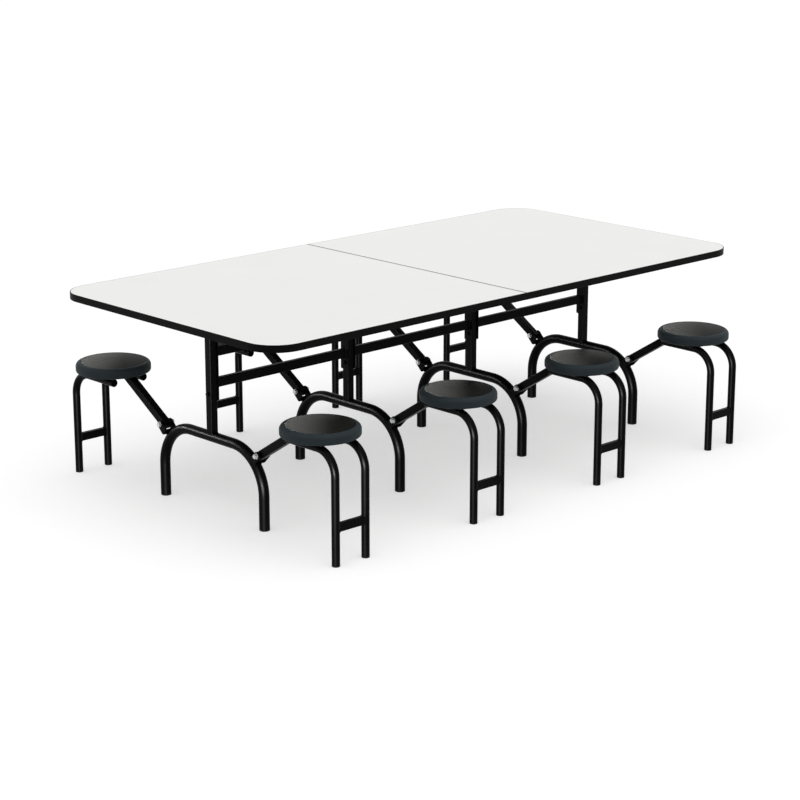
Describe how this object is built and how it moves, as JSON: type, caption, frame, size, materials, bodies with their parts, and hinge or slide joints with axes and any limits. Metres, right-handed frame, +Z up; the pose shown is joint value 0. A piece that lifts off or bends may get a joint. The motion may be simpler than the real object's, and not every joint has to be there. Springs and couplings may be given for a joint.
{
  "type": "canteen table with attached folding stools",
  "caption": "Long split-top dining table on bent-tube arches, with round stools hinged to the arches so that each one folds up under the top.",
  "frame": {"origin": "on the floor under the middle of the table", "axes": "+X along the length of the top, -Y the front long side, +Z up"},
  "size_m": [2.4, 1.4846, 0.75],
  "materials": {
    "laminate": "satin off-white decorative laminate",
    "board": "chipboard with a pale grey backing paper",
    "edge_band": "black moulded edging",
    "frame_paint": "semi-gloss black powder coat",
    "bolt_steel": "zinc-plated",
    "foot_plug": "black moulded polyethylene",
    "seat_pan": "slate-grey satin moulding",
    "seat_disc": "polished black"
  },
  "bodies": {
    "table": {"top_board_left": "board", "top_board_right": "board", "top_laminates": "laminate", "edge_bands": "edge_band", "top_bearers": "frame_paint", "arch_foot_plugs": "foot_plug", "hinge_brackets": "frame_paint", "hinge_bolts": "bolt_steel", "frame_bolts": "frame_paint", "arch_1": "frame_paint", "arch_2": "frame_paint", "arch_3": "frame_paint", "arch_4": "frame_paint", "post_1": "frame_paint", "post_2": "frame_paint", "post_3": "frame_paint", "post_4": "frame_paint", "rail_frame_1": "frame_paint", "rail_frame_2": "frame_paint", "rail_frame_3": "frame_paint"},
    "stool_front_1": {"stool_front_1_seat_pan": "seat_pan", "stool_front_1_seat_disc": "seat_disc", "stool_front_1_leg_frame": "frame_paint", "stool_front_1_arm": "frame_paint", "stool_front_1_foot_plugs": "foot_plug"},
    "stool_front_2": {"stool_front_2_seat_pan": "seat_pan", "stool_front_2_seat_disc": "seat_disc", "stool_front_2_leg_frame": "frame_paint", "stool_front_2_arm": "frame_paint", "stool_front_2_foot_plugs": "foot_plug"},
    "stool_front_3": {"stool_front_3_seat_pan": "seat_pan", "stool_front_3_seat_disc": "seat_disc", "stool_front_3_leg_frame": "frame_paint", "stool_front_3_arm": "frame_paint", "stool_front_3_foot_plugs": "foot_plug"},
    "stool_front_4": {"stool_front_4_seat_pan": "seat_pan", "stool_front_4_seat_disc": "seat_disc", "stool_front_4_leg_frame": "frame_paint", "stool_front_4_arm": "frame_paint", "stool_front_4_foot_plugs": "foot_plug"},
    "stool_back_1": {"stool_back_1_seat_pan": "seat_pan", "stool_back_1_seat_disc": "seat_disc", "stool_back_1_leg_frame": "frame_paint", "stool_back_1_arm": "frame_paint", "stool_back_1_foot_plugs": "foot_plug"},
    "stool_back_2": {"stool_back_2_seat_pan": "seat_pan", "stool_back_2_seat_disc": "seat_disc", "stool_back_2_leg_frame": "frame_paint", "stool_back_2_arm": "frame_paint", "stool_back_2_foot_plugs": "foot_plug"},
    "stool_back_3": {"stool_back_3_seat_pan": "seat_pan", "stool_back_3_seat_disc": "seat_disc", "stool_back_3_leg_frame": "frame_paint", "stool_back_3_arm": "frame_paint", "stool_back_3_foot_plugs": "foot_plug"},
    "stool_back_4": {"stool_back_4_seat_pan": "seat_pan", "stool_back_4_seat_disc": "seat_disc", "stool_back_4_leg_frame": "frame_paint", "stool_back_4_arm": "frame_paint", "stool_back_4_foot_plugs": "foot_plug"}
  },
  "joints": [
    {"name": "stool_front_1_fold", "type": "hinge", "parent": "table", "child": "stool_front_1", "pos_m": [-0.975, -0.27274, 0.27374], "axis": [-1, 0, 0], "range_deg": [0, 48]},
    {"name": "stool_front_2_fold", "type": "hinge", "parent": "table", "child": "stool_front_2", "pos_m": [-0.325, -0.27274, 0.27374], "axis": [-1, 0, 0], "range_deg": [0, 48]},
    {"name": "stool_front_3_fold", "type": "hinge", "parent": "table", "child": "stool_front_3", "pos_m": [0.325, -0.27274, 0.27374], "axis": [-1, 0, 0], "range_deg": [0, 48]},
    {"name": "stool_front_4_fold", "type": "hinge", "parent": "table", "child": "stool_front_4", "pos_m": [0.975, -0.27274, 0.27374], "axis": [-1, 0, 0], "range_deg": [0, 48]},
    {"name": "stool_back_1_fold", "type": "hinge", "parent": "table", "child": "stool_back_1", "pos_m": [-0.975, 0.27274, 0.27374], "axis": [1, 0, 0], "range_deg": [0, 48]},
    {"name": "stool_back_2_fold", "type": "hinge", "parent": "table", "child": "stool_back_2", "pos_m": [-0.325, 0.27274, 0.27374], "axis": [1, 0, 0], "range_deg": [0, 48]},
    {"name": "stool_back_3_fold", "type": "hinge", "parent": "table", "child": "stool_back_3", "pos_m": [0.325, 0.27274, 0.27374], "axis": [1, 0, 0], "range_deg": [0, 48]},
    {"name": "stool_back_4_fold", "type": "hinge", "parent": "table", "child": "stool_back_4", "pos_m": [0.975, 0.27274, 0.27374], "axis": [1, 0, 0], "range_deg": [0, 48]}
  ]
}
